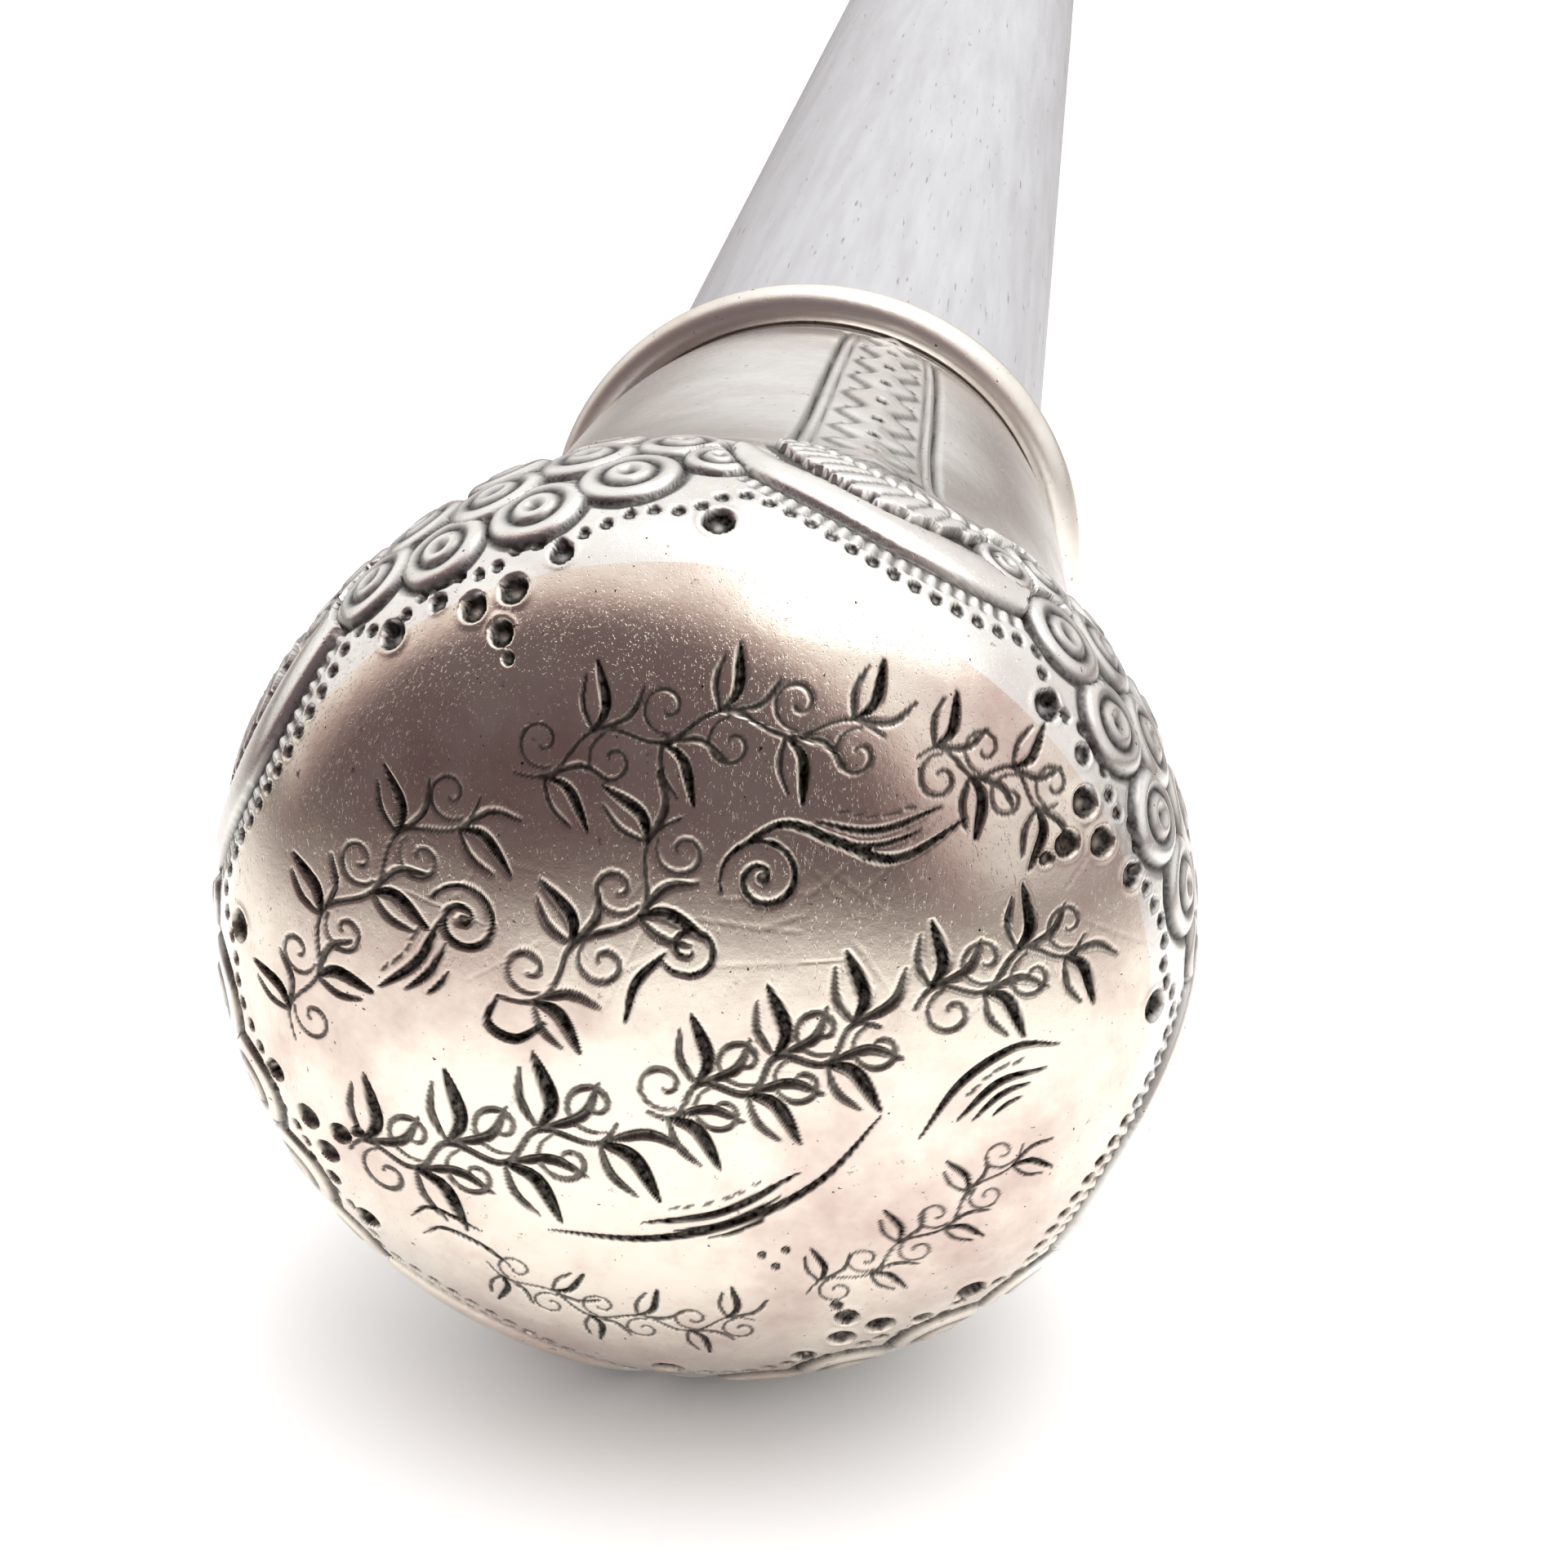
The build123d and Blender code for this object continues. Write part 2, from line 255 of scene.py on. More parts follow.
def engrave_field(skin):
    """The freehand engraving of the middle of the face: vines, scrolls and sprays."""
    vine(skin, [(-11.6, -0.8), (-10.6, 2.6), (-8.4, 5.6), (-5.2, 8.1)], 3, 0.4, 1.9, 0.42, 0.2)
    vine(skin, [(-4.2, 8.9), (-1.0, 10.2), (2.8, 10.7), (6.2, 10.3)], 3, 0.35, 1.85, 0.4, 0.2, -1)
    vine(skin, [(7.2, 9.7), (9.2, 9.3), (11.6, 8.0)], 2, 0.35, 1.7, 0.38, 0.19)
    # the small sprig in the middle
    vine(skin, [(-4.6, 2.4), (-2.6, 3.4), (-0.9, 5.4), (0.6, 8.0)], 2, 0.45, 1.9, 0.46, 0.22, -1)
    skin.cut(flow([(-4.6, 2.4), (-4.9, 1.5), (-4.1, 1.1), (-3.2, 1.7)]), 0.34, 0.42)
    skin.cut(curl(0.9, 4.3, 0.75, 1.3, 200, 1), 0.24, 0.4)
    skin.cut(flow([(0.2, 4.1), (-0.6, 3.2), (-0.9, 2.0)]), 0.32, 0.42)
    # the scrolls to its left and right
    skin.cut(curl(-5.6, 4.5, 1.0, 1.5, 150, -1), 0.26, 0.4)
    skin.punch(-5.6, 4.5, 0.2, 0.12)
    spray(skin, [(-6.3, 4.5), (-7.0, 3.1), (-8.3, 2.0)], 0.45, 0.36)
    skin.cut(curl(2.9, 6.4, 1.1, 1.5, 200, -1), 0.26, 0.4)
    skin.punch(2.9, 6.4, 0.2, 0.12)
    skin.cut(flow([(1.9, 7.0), (3.4, 7.9), (5.0, 7.4), (6.6, 6.9), (8.6, 7.9)]), 0.4, 0.42)
    spray(skin, [(4.3, 8.0), (6.0, 7.7), (7.9, 8.3)], -0.4, 0.3)
    # the broad vine across the face
    vine(skin, [(-9.9, -4.3), (-7.2, -3.6), (-4.2, -2.6), (-1.2, -1.4)], 3, 0.45, 2.45, 0.58, 0.28)
    vine(skin, [(-0.3, -0.9), (2.8, 0.4), (6.2, 2.0)], 3, 0.4, 2.1, 0.5, 0.26, -1)
    vine(skin, [(7.2, 2.5), (9.8, 3.4), (12.4, 4.0)], 2, 0.4, 1.9, 0.46, 0.23)
    # the underline
    skin.cut(flow([(-3.4, -5.6), (-0.4, -5.5), (2.4, -4.6), (4.6, -3.1), (6.3, -0.9)]), 0.34, 0.42, 1, 0.08)
    spray(skin, [(-0.6, -4.9), (1.8, -4.3), (4.0, -2.8)], -0.42, 0.32)
    for x, y in ((2.9, -6.0), (3.6, -5.8), (3.3, -6.5)):
        skin.punch(x, y, 0.15, 0.08)
    # a spray on the right, and the light vine below
    skin.cut(flow([(7.4, -1.8), (8.6, 0.0), (10.2, 0.9), (11.6, 0.7)]), 0.3, 0.4, 1, 0.08)
    spray(skin, [(8.5, -1.3), (9.7, -0.2), (11.2, 0.0)], -0.42, 0.28)
    skin.cut(flow([(-8.0, -6.4), (-7.2, -5.7), (-5.6, -6.2)]), 0.22, 0.4, 1, 0.08)
    skin.cut(flow([(-7.7, -7.1), (-6.9, -6.5), (-5.6, -6.9), (-4.8, -7.6)]), 0.22, 0.4, 1, 0.08)
    vine(skin, [(-5.6, -7.6), (-3.0, -9.0), (0.2, -9.5), (2.6, -9.1)], 3, 0.3, 1.45, 0.28, 0.14, -1)
    vine(skin, [(4.2, -7.8), (6.6, -6.4), (8.8, -4.6), (10.6, -2.6)], 3, 0.3, 1.4, 0.26, 0.14)
    # scratches from a century of handling: bright, so without darkness
    dice = random.Random(11)
    for _ in range(46):
        x, y = dice.gauss(0.5, 4.5), dice.gauss(3.0, 4.0)
        a, long = dice.uniform(0, math.pi), dice.uniform(1.0, 4.5)
        end = (x + long * math.cos(a), y + long * math.sin(a))
        skin.cut(np.array([(x, y), end]), 0.11, 0.1, 0.0, 0.09)


CUSPS = (118.3, 23.1, -66.8, -151.7)     # where the border's four corners point, in degrees
BORDER_MIDDLE = (0.6, 2.0)               # the border was struck a little off the face's middle
CHART = 14.5                             # radius at which the border's chart is true
QUARTER = CHART * math.pi / 2


def border_chart(angle, s):
    """Where a point of the head lies in a quarter of the border: along it, and out from the middle."""
    fade = np.clip(1 - (s - 22) / 6, 0, 1)
    u = s * np.cos(angle) - BORDER_MIDDLE[0] * fade
    v = s * np.sin(angle) - BORDER_MIDDLE[1] * fade
    turn = np.degrees(np.arctan2(v, u))
    x = np.zeros(len(u))
    for a, b in zip(CUSPS, CUSPS[1:] + (CUSPS[0] - 360,)):
        off = (a - turn) % 360
        inside = off < a - b
        x[inside] = off[inside] / (a - b) * QUARTER
    return x, np.hypot(u, v)


def deg(value):
    return math.radians(value) * CHART


# The border's places, each as degrees from a corner and millimetres out from the middle: its dotted edge, the
# larger dots and the blossoms with their radii, the scroll between two corners and the leaf in it.
DOTTED = ((0, 14.3), (-4.5, 14.9), (-9, 14.6), (-14, 14.9), (-19, 15.4), (-25, 15.4), (-30, 16.3), (-36, 15.9),
          (-45, 15.0), (-54, 14.65), (-63, 14.9), (-70, 15.6), (-73, 14.9), (-77, 14.6), (-82, 15.0),
          (-86, 14.8), (-90, 14.3))
BIG_DOTS = ((-2.9, 13.45, 0.5), (2.9, 13.45, 0.5), (0, 12.25, 0.46), (0, 11.45, 0.26), (-9.5, 14.2, 0.42),
            (-28.5, 14.95, 0.52), (-75, 14.3, 0.5), (-82.5, 14.3, 0.34))
PETALS = ((-6.2, 16.5, 1.55), (6.2, 16.5, 1.55), (-17, 17.5, 1.6), (17, 17.5, 1.6), (0, 18.7, 1.6),
          (-11, 19.8, 1.55), (11, 19.8, 1.55), (-22, 20.3, 1.45), (22, 20.3, 1.45), (0, 21.6, 1.5),
          (-12.5, 22.6, 1.35), (12.5, 22.6, 1.35), (0, 24.2, 1.3), (-27, 18.6, 1.1), (27, 18.6, 1.1))
SCROLL = ((-29, 20.0), (-33, 18.4), (-41, 17.3), (-51, 16.75), (-61, 17.1), (-68.5, 18.2), (-71, 19.7),
          (-68.5, 21.2), (-63.5, 21.6), (-60.5, 20.8))
LEAF_SPINE = ((-34, 22.4), (-41, 20.6), (-49, 19.3), (-59, 19.3))


def chase_border(skin):
    """Flowers at the four corners, a scroll and a leaf between them, and the dotted line that edges them."""
    for shift in (-QUARTER, 0.0, QUARTER):
        # the ground between the flowers is matted and dark
        for turn, y, r in PETALS:
            x = shift - deg(turn)
            idx = skin.near(np.array([[x, y]]), 1.6 * r)
            d = np.hypot(skin.u[idx] - x, (skin.v[idx] - y)) / r
            skin.dark[idx] = np.maximum(skin.dark[idx], 0.92 * np.clip((1.22 - d) * 6, 0, 1))
            skin.height[idx] = np.minimum(skin.height[idx], -0.12 * np.clip((1.22 - d) * 6, 0, 1))
    for shift in (-QUARTER, 0.0, QUARTER):
        for turn, y, r in PETALS:
            x = shift - deg(turn)
            idx = skin.near(np.array([[x, y]]), 1.3 * r)
            d = np.hypot(skin.u[idx] - x, (skin.v[idx] - y)) / r
            inside = d < 1
            idx, d = idx[inside], d[inside]
            rim = np.sqrt(np.clip(1 - d ** 4, 0, 1))
            dish = 0.34 * np.exp(-((d - 0.52) / 0.11) ** 2) + 0.5 * np.clip(1 - d / 0.26, 0, 1)
            skin.height[idx] = -0.12 + 0.34 * rim - 0.42 * dish
            shade = 0.9 * np.clip(1.3 - d / 0.2, 0, 1) + 0.9 * np.clip((d - 0.86) * 8, 0, 1)
            skin.dark[idx] = np.clip(shade + np.exp(-((d - 0.52) / 0.12) ** 2), 0, 0.97)
        line = flow([(shift - deg(a), y) for a, y in SCROLL])
        idx, d, place, side = skin.distance(line, 2.0)
        half = 0.34 + 0.62 * np.sin(np.clip(place, 0, 1) * math.pi) ** 0.7
        band = d < half
        skin.height[idx[band]] = 0.28 * np.sqrt(np.clip(1 - (d[band] / half[band]) ** 2, 0, 1)) - 0.06
        skin.dark[idx[band]] = 0.35 * np.clip((d[band] / half[band] - 0.86) * 7, 0, 1)
        ditch = np.exp(-((d - half - 0.12) / 0.15) ** 2) * (~band)
        skin.height[idx] -= 0.16 * ditch
        skin.dark[idx] = np.maximum(skin.dark[idx], 0.95 * ditch)
        hatch = (~band) & (side < 0) & (d > half + 0.22) & (d < half + 0.8) & (place > 0.1) & (place < 0.72)
        wave = 0.5 + 0.5 * np.cos(2 * math.pi * place * length(line) / 0.42)
        skin.height[idx[hatch]] -= 0.10 * wave[hatch]
        skin.dark[idx[hatch]] = np.maximum(skin.dark[idx[hatch]], 0.8 * wave[hatch] ** 2)
        # the leaf inside the scroll: a matted ground and a serrated blade
        spine = flow([(shift - deg(a), y) for a, y in LEAF_SPINE])
        idx, d, place, side = skin.distance(spine, 2.6)
        half = 1.75 * np.sin(np.clip(place * 0.96 + 0.02, 0, 1) * math.pi) ** 0.65 + 0.05
        teeth = np.abs(((place * length(spine) / 0.62 + 0.5 * d / 0.62) % 1) - 0.5) * 2
        blade = d < half * (0.74 + 0.26 * teeth)
        around = (d < half + 0.5) & ~blade
        skin.dark[idx[around]] = np.maximum(skin.dark[idx[around]], 0.85)
        skin.height[idx[around]] = np.minimum(skin.height[idx[around]], -0.14)
        vein = np.exp(-(d / 0.12) ** 2)
        crown = 0.2 * np.sqrt(np.clip(1 - (d / (half + 1e-6)) ** 2, 0, 1))
        skin.height[idx[blade]] = (crown + 0.07 * teeth - 0.16 * vein)[blade]
        skin.dark[idx[blade]] = np.clip(0.75 * vein + 0.6 * (teeth < 0.25), 0, 0.9)[blade]
        # the dotted edge
        skin.bead_line([(shift - deg(a), y) for a, y in DOTTED], 0.74, 0.235, 0.15)
        for turn, y, r in BIG_DOTS:
            skin.punch(shift - deg(turn), y, r, 0.62 * r)
        # sprigs behind the scroll, and the line that closes the border
        for k in range(5):
            a = -38 - 6.5 * k
            sprig = [(shift - deg(a), 23.0), (shift - deg(a - 2.5), 24.2), (shift - deg(a - 1), 25.6)]
            skin.cut(flow(sprig), 0.42, 0.4, 0.9)
        closing = [(shift - deg(-45 - 7.5 * k), 26.3 - 0.9 * math.cos(k / 6 * math.pi) ** 2)
                   for k in range(-6, 7)]
        skin.cut(flow(closing), 0.34, 0.4, 0.9, 0.34)


def chase_neck(skin):
    """Four plain bright panels down the neck, with a narrow ornamental strip between each two."""
    middle = QUARTER / 2
    top, end = 27.2, float(ARC[-1]) - 1.3
    off = np.abs(skin.u - middle)
    inside = (skin.v > top) & (skin.v < end)
    half = np.interp(skin.v, (top, end), (3.1, 2.5))
    edge = np.exp(-((off - half) / 0.17) ** 2) * inside
    line = np.exp(-((off - half + 0.62) / 0.1) ** 2) * inside
    swag = 0.5 + 0.5 * np.cos(2 * math.pi * skin.v / 2.4)
    core = np.clip(1 - off / (half - 1.1) / (0.45 + 0.55 * swag), 0, 1) * inside
    skin.height += 0.26 * np.sqrt(core) - 0.22 * edge - 0.1 * line
    rim = np.exp(-((np.abs(off / (half - 1.1)) - 0.45 - 0.55 * swag) / 0.14) ** 2) * inside * (off < half - 0.7)
    skin.dark = np.maximum(skin.dark, 0.95 * edge + 0.7 * line)
    skin.dark = np.maximum(skin.dark, 0.75 * rim)
    for y in np.arange(top + 1.2, end, 2.4):
        skin.punch(middle, y, 0.3, 0.14)
        for dx in (-1, 1):
            skin.punch(middle + dx * 1.35, y - 1.2 if y - 1.2 > top else y, 0.17, 0.08)
    for at, wide in ((top, 0.36), (end, 0.36), (end + 0.55, 0.2)):
        ring = np.exp(-((skin.v - at) / (wide / 2)) ** 2)
        skin.height -= 0.12 * ring
        skin.dark = np.maximum(skin.dark, 0.85 * ring)


def wear(angle, s, seed):
    """Slow dents of a few hundredths of a millimetre, from long use."""
    dice = random.Random(seed)
    total = np.zeros(len(s))
    for _ in range(9):
        k, m = dice.randint(1, 5), dice.uniform(0.1, 0.45)
        total += (dice.uniform(0.2, 1) * np.sin(k * angle + dice.uniform(0, 6.3))
                  * np.sin(m * s + dice.uniform(0, 6.3)))
    return total * 0.012 * np.clip(s / 6, 0, 1)


def marks(angle, s):
    """Height and darkness of all the chasing and engraving at points of the head."""
    height = np.zeros(len(s))
    dark = np.zeros(len(s))
    front = s < 16.5
    if front.any():
        field = Skin(s[front] * np.cos(angle[front]), s[front] * np.sin(angle[front]))
        engrave_field(field)
        height[front] += field.height
        dark[front] = np.maximum(dark[front], field.dark)
    x, rho = border_chart(angle, s)
    for job, part in ((chase_border, (rho > 10.2) & (s < 29)), (chase_neck, s > 25)):
        if part.any():
            skin = Skin(x[part], rho[part])
            job(skin)
            height[part] += skin.height
            dark[part] = np.maximum(dark[part], skin.dark)
    return height * bpy.context.scene.rattle_look.relief + wear(angle, s, 5), dark


# ---------------------------------------------------------------------------------------------------------
# Meshes

def to_object(name, bm):
    mesh = bpy.data.meshes.new(name)
    bm.to_mesh(mesh)
    bm.free()
    piece = bpy.data.objects.new(name, mesh)
    bpy.context.scene.collection.objects.link(piece)
    return piece


def read(mesh, attribute, width=1):
    data = mesh.attributes[attribute].data if attribute != "position" else mesh.vertices
    values = np.zeros(len(mesh.vertices) * width, np.float32)
    data.foreach_get("co" if attribute == "position" else "value", values)
    return values.reshape(-1, width).astype(float) if width > 1 else values.astype(float)


def band(name, profile, steps):
    """A closed outline of (radius, along, arc, skin), carried round the axis by bending a grid round it."""
    loop = np.array(profile + profile[:1], float)
    bm = bmesh.new()
    bmesh.ops.create_grid(bm, x_segments=steps, y_segments=len(profile), size=0.5)
    piece = to_object(name, bm)
    mesh = piece.data
    co = read(mesh, "position", 3)
    turn = (co[:, 0] + 0.5) * 2 * math.pi
    k = np.rint((co[:, 1] + 0.5) * len(profile)).astype(int)
    r, y, s, skin = loop[k].T
    height, dark = marks(turn, s)
    press(mesh, turn, r, y, s, height * skin, dark * skin)
    return piece


def press(mesh, turn, r, y, s, height, dark):
    """Lays a mesh's points on the head, pushed out by height, closes its seams and keeps the darkness."""
    r = r + np.interp(s, ARC, OUT_R) * height
    y = y + np.interp(s, ARC, OUT_Y) * height
    places = np.stack([r * np.cos(turn), y, r * np.sin(turn)], 1)
    mesh.vertices.foreach_set("co", places.astype(np.float32).ravel())
    mesh.attributes.new("patina_and_painted_glint", "FLOAT", "POINT").data.foreach_set("value", dark.astype(np.float32))
    bm = bmesh.new()
    bm.from_mesh(mesh)
    bmesh.ops.remove_doubles(bm, verts=bm.verts, dist=1e-4)
    bmesh.ops.recalc_face_normals(bm, faces=bm.faces)
    bm.to_mesh(mesh)
    bm.free()


def settle(piece, slot, replaced):
    """Lays a finished piece of the head on the rattle, smooth but for its edges, in place of a CAD node."""
    piece.data.transform(LAY)
    piece.data.polygons.foreach_set("use_smooth", [True] * len(piece.data.polygons))
    piece.data.set_sharp_from_angle(angle=math.radians(66))
    piece.data.update()
    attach(piece, "rattle")
    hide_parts(replaced)
    piece.data.materials.append(material_for(slot))


def shell(name, start, end, rings, steps, replaced, slot):
    """A chased band of the head between two arc lengths, with its wall's thickness."""
    profile = []
    wall = bpy.context.scene.rattle_look.wall / MM
    for s in np.linspace(start, end, rings + 1):
        r, y = on_head(s)
        profile.append((float(r), float(y), float(s), 1.0))
    for s in np.linspace(end, start, 5):
        r, y = on_head(s, wall)
        profile.append((float(r), float(y), float(s), 0.0))
    settle(band(name, profile, steps), slot, replaced)


FIELD_ARC = 11.0         # arc length from the middle of the face to the edge of its field
FIELD_CELLS = 288


def field_piece():
    """The middle of the face: a square grid drawn in to a disc, laid on the dome and closed behind."""
    wall = bpy.context.scene.rattle_look.wall / MM
    bm = bmesh.new()
    bmesh.ops.create_grid(bm, x_segments=FIELD_CELLS, y_segments=FIELD_CELLS, size=1.0)
    arc, skin = bm.verts.layers.float.new("arc"), bm.verts.layers.float.new("skin")
    for v in bm.verts:
        v[skin] = 1.0
        a, b = v.co.x, v.co.y
        if abs(a) < 1e-9 and abs(b) < 1e-9:
            r, turn = 0.0, 0.0
        elif abs(a) >= abs(b):
            r, turn = a, math.pi / 4 * b / a
        else:
            r, turn = b, math.pi / 2 - math.pi / 4 * a / b
        v[arc] = abs(r) * FIELD_ARC
        v.co = (r * math.cos(turn), 0, r * math.sin(turn))
    rim = [e for e in bm.edges if e.is_boundary]
    for share, depth in ((1.0, wall), (0.7, wall), (0.35, wall)):
        made = bmesh.ops.extrude_edge_only(bm, edges=rim)["geom"]
        rim = [e for e in made if isinstance(e, bmesh.types.BMEdge)]
        for v in (g for g in made if isinstance(g, bmesh.types.BMVert)):
            v[arc], v[skin] = share * FIELD_ARC, -depth
    bmesh.ops.holes_fill(bm, edges=rim)
    piece = to_object("face_field", bm)
    mesh = piece.data
    co = read(mesh, "position", 3)
    s, skin = read(mesh, "arc"), read(mesh, "skin")
    turn = np.arctan2(co[:, 2], co[:, 0])
    r, y = on_head(s, np.clip(-skin, 0, 1))
    height, dark = marks(turn, s)
    press(mesh, turn, r, y, s, height * (skin > 0.5), dark * (skin > 0.5))
    for layer in ("arc", "skin"):
        mesh.attributes.remove(mesh.attributes[layer])
    settle(piece, "silver_face", "face_dome")


# ---------------------------------------------------------------------------------------------------------
# Materials

NOISE, RANGE, MIX, MATH = "ShaderNodeTexNoise", "ShaderNodeMapRange", "ShaderNodeMix", "ShaderNodeMath"
MAPPING, BUMP, COORDINATES = "ShaderNodeMapping", "ShaderNodeBump", "ShaderNodeTexCoord"
PER_MM = 1000.0          # Object coordinates are in metres, and the patterns in millimetres


def linear(hex_colour):
    """An sRGB hex colour as linear red, green, blue and alpha."""
    values = [int(hex_colour[i:i + 2], 16) / 255 for i in (1, 3, 5)]
    return tuple(c / 12.92 if c <= 0.04045 else ((c + 0.055) / 1.055) ** 2.4 for c in values) + (1.0,)


def opaque(colour):
    return tuple(colour) + (1.0,)


def add(tree, kind, inputs=None, **settings):
    """Adds a node with its settings; an input may be a value or another node's output."""
    node = tree.nodes.new(kind)
    for key, value in settings.items():
        setattr(node, key, value)
    for key, value in (inputs or {}).items():
        if isinstance(value, bpy.types.NodeSocket):
            tree.links.new(value, node.inputs[key])
        else:
            node.inputs[key].default_value = value
    return node


def new_material(name):
    material = bpy.data.materials.new(name)
    material.use_nodes = True
    tree = material.node_tree
    tree.nodes.clear()
    shader = add(tree, "ShaderNodeBsdfPrincipled")
    add(tree, "ShaderNodeOutputMaterial", {"Surface": shader.outputs[0]})
    return material, tree, shader


def silver(name, clean, aged, rough, scratches, chased=True):
    """Old sterling: warm where it is handled, with brown-violet tarnish in clouds and black in every cut."""
    material, tree, shader = new_material(name)
    place = add(tree, COORDINATES).outputs["Object"]
    mm = add(tree, MAPPING, {"Vector": place, "Scale": (PER_MM,) * 3}).outputs[0]
    # tarnish in clouds about 6 mm across, in spots of half a millimetre and in specks of a fifth
    clouds = add(tree, NOISE, {"Vector": mm, "Scale": 0.16, "Detail": 5.0, "Roughness": 0.62}).outputs[0]
    clouds = add(tree, RANGE, {"Value": clouds, "From Min": 0.42, "From Max": 0.68}).outputs[0]
    spots = add(tree, NOISE, {"Vector": mm, "Scale": 1.9, "Detail": 4.0, "Roughness": 0.7}).outputs[0]
    spots = add(tree, RANGE, {"Value": spots, "From Min": 0.66, "From Max": 0.78}).outputs[0]
    specks = add(tree, NOISE, {"Vector": mm, "Scale": 4.6, "Detail": 2.0, "Roughness": 0.6}).outputs[0]
    specks = add(tree, RANGE, {"Value": specks, "From Min": 0.71, "From Max": 0.76}).outputs[0]
    base = add(tree, MIX, {0: clouds, 6: clean, 7: aged}, data_type="RGBA").outputs[2]
    base = add(tree, MIX, {0: spots, 6: base, 7: linear("#6E6266")}, data_type="RGBA").outputs[2]
    base = add(tree, MIX, {0: specks, 6: base, 7: linear("#4A3F3C")}, data_type="RGBA").outputs[2]
    rough_map = add(tree, RANGE, {"Value": clouds, "To Min": rough, "To Max": rough + 0.1}).outputs[0]
    # hairlines a tenth of a millimetre wide, running three ways
    lines = []
    for turn, stretch in (((0.3, 0.5, 0.9), 0.03), ((1.2, -0.4, 2.2), 0.04), ((-0.6, 1.4, 0.2), 0.03)):
        way = add(tree, MAPPING, {"Vector": mm, "Rotation": turn, "Scale": (9, 9, 9 * stretch)}).outputs[0]
        hair = add(tree, NOISE, {"Vector": way, "Scale": 1.3, "Detail": 2.0}).outputs[0]
        lines.append(add(tree, RANGE, {"Value": hair, "From Min": 0.66, "From Max": 0.74}).outputs[0])
    hairlines = add(tree, MATH, {0: lines[0], 1: lines[1]}, operation="MAXIMUM").outputs[0]
    hairlines = add(tree, MATH, {0: hairlines, 1: lines[2]}, operation="MAXIMUM").outputs[0]
    if chased:
        # black sulphide, left where polishing does not reach, but thinned at the middle of every punch mark for
        # a painted highlight
        dark = add(tree, "ShaderNodeAttribute", attribute_name="patina_and_painted_glint").outputs["Fac"]
        grain = add(tree, NOISE, {"Vector": mm, "Scale": 5.0, "Detail": 3.0}).outputs[0]
        grain = add(tree, RANGE, {"Value": grain, "To Min": 0.75, "To Max": 1.15}).outputs[0]
        dark = add(tree, MATH, {0: dark, 1: grain}, operation="MULTIPLY", use_clamp=True).outputs[0]
        base = add(tree, MIX, {0: dark, 6: base, 7: linear("#0F0C0A")}, data_type="RGBA").outputs[2]
        rough_map = add(tree, MATH, {0: dark, 1: 0.28, 2: rough_map}, operation="MULTIPLY_ADD").outputs[0]
    tree.links.new(base, shader.inputs["Base Color"])
    tree.links.new(rough_map, shader.inputs["Roughness"])
    shader.inputs["Metallic"].default_value = 1.0
    scratched = add(tree, BUMP, {"Height": hairlines, "Strength": scratches, "Distance": 0.00002}, invert=True)
    pits = add(tree, NOISE, {"Vector": mm, "Scale": 0.9, "Detail": 6.0, "Roughness": 0.7}).outputs[0]
    pitted = {"Height": pits, "Strength": 0.25, "Distance": 0.00006, "Normal": scratched.outputs[0]}
    tree.links.new(add(tree, BUMP, pitted).outputs[0], shader.inputs["Normal"])
    return material


def bone(white):
    """Polished cattle bone: cool white, with fine dark pores drawn out along the stick."""
    material, tree, shader = new_material("polished bone")
    place = add(tree, COORDINATES).outputs["Object"]
    mm = add(tree, MAPPING, {"Vector": place, "Scale": (PER_MM,) * 3}).outputs[0]
    along = add(tree, MAPPING, {"Vector": mm, "Scale": (1.0, 0.06, 1.0)}).outputs[0]
    grain = add(tree, NOISE, {"Vector": along, "Scale": 1.2, "Detail": 6.0, "Roughness": 0.6}).outputs[0]
    grain = add(tree, RANGE, {"Value": grain, "From Min": 0.35, "From Max": 0.7}).outputs[0]
    base = add(tree, MIX, {0: grain, 6: white, 7: linear("#C9C9CD")}, data_type="RGBA").outputs[2]
    pores = add(tree, NOISE, {"Vector": along, "Scale": 5.5, "Detail": 2.0}).outputs[0]
    pores = add(tree, RANGE, {"Value": pores, "From Min": 0.68, "From Max": 0.75}).outputs[0]
    base = add(tree, MIX, {0: pores, 6: base, 7: linear("#9C958C")}, data_type="RGBA").outputs[2]
    tree.links.new(base, shader.inputs["Base Color"])
    shader.inputs["Roughness"].default_value = 0.38
    bump = add(tree, BUMP, {"Height": pores, "Strength": 0.4, "Distance": 0.00005}, invert=True)
    tree.links.new(bump.outputs[0], shader.inputs["Normal"])
    return material


def plain(name, light, shade, rough, metallic, scale, stretch=(1, 1, 1)):
    """A hidden part's stuff: two tones mottled at the size of its grain."""
    material, tree, shader = new_material(name)
    place = add(tree, COORDINATES).outputs["Object"]
    mm = add(tree, MAPPING, {"Vector": place, "Scale": tuple(PER_MM * k for k in stretch)}).outputs[0]
    grain = add(tree, NOISE, {"Vector": mm, "Scale": scale, "Detail": 5.0}).outputs[0]
    grain = add(tree, RANGE, {"Value": grain, "From Min": 0.35, "From Max": 0.65}).outputs[0]
    base = add(tree, MIX, {0: grain, 6: linear(light), 7: linear(shade)}, data_type="RGBA").outputs[2]
    tree.links.new(base, shader.inputs["Base Color"])
    shader.inputs["Roughness"].default_value = rough
    shader.inputs["Metallic"].default_value = metallic
    bump = add(tree, BUMP, {"Height": grain, "Strength": 0.3, "Distance": 0.00005})
    tree.links.new(bump.outputs[0], shader.inputs["Normal"])
    return material


MADE = {}


